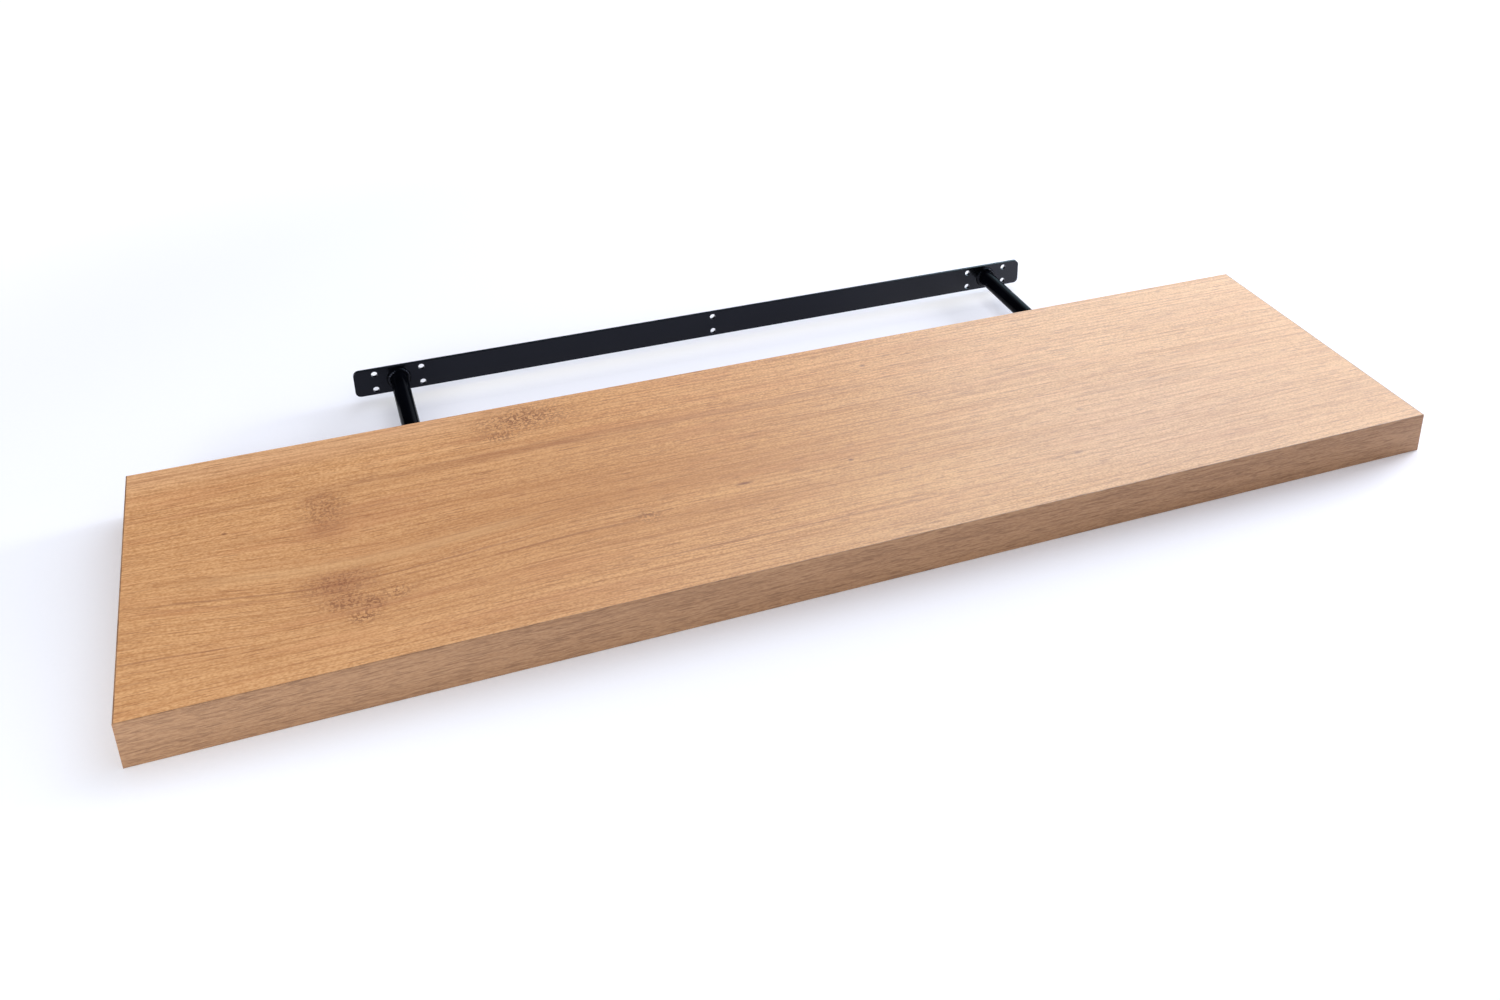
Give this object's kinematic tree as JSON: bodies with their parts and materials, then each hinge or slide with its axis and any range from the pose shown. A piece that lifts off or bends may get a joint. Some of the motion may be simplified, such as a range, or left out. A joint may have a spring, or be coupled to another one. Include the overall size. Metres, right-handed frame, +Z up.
{
  "type": "floating wall shelf",
  "caption": "Straight wood-effect floating shelf board that slides onto two round rods welded to a flat black wall plate.",
  "frame": {"origin": "centre of the wall plate's back face, which lies on the wall", "axes": "+Z up, +Y into the wall, X along the shelf; the room and the board's front edge are towards -Y"},
  "size_m": [0.8, 0.3285, 0.028],
  "materials": {
    "black_powder_coat": "smooth black powder coat on steel, satin to gloss",
    "oak_decor": "warm oak-effect decor on thin fibreboard, satin",
    "edge_decor": "beech-like edge decor with short flecks, satin",
    "chipboard": "bare chipboard, matte",
    "honeycomb_paper": "brown kraft paper, matte"
  },
  "bodies": {
    "bracket": {"wall_plate": "black_powder_coat", "left_rod": "black_powder_coat", "right_rod": "black_powder_coat", "left_weld": "black_powder_coat", "right_weld": "black_powder_coat"},
    "shelf_board": {"top_skin": "oak_decor", "bottom_skin": "oak_decor", "front_edge_band": "edge_decor", "left_edge_band": "edge_decor", "right_edge_band": "edge_decor", "front_rail": "chipboard", "rear_rail": "chipboard", "left_end_rail": "chipboard", "right_end_rail": "chipboard", "left_rod_rib": "chipboard", "right_rod_rib": "chipboard", "left_honeycomb": "honeycomb_paper", "centre_honeycomb": "honeycomb_paper", "right_honeycomb": "honeycomb_paper"}
  },
  "joints": [
    {"name": "board_slide", "type": "slide", "parent": "bracket", "child": "shelf_board", "axis": [0, -1, 0], "range_m": [-0.0932, 0.072]}
  ]
}
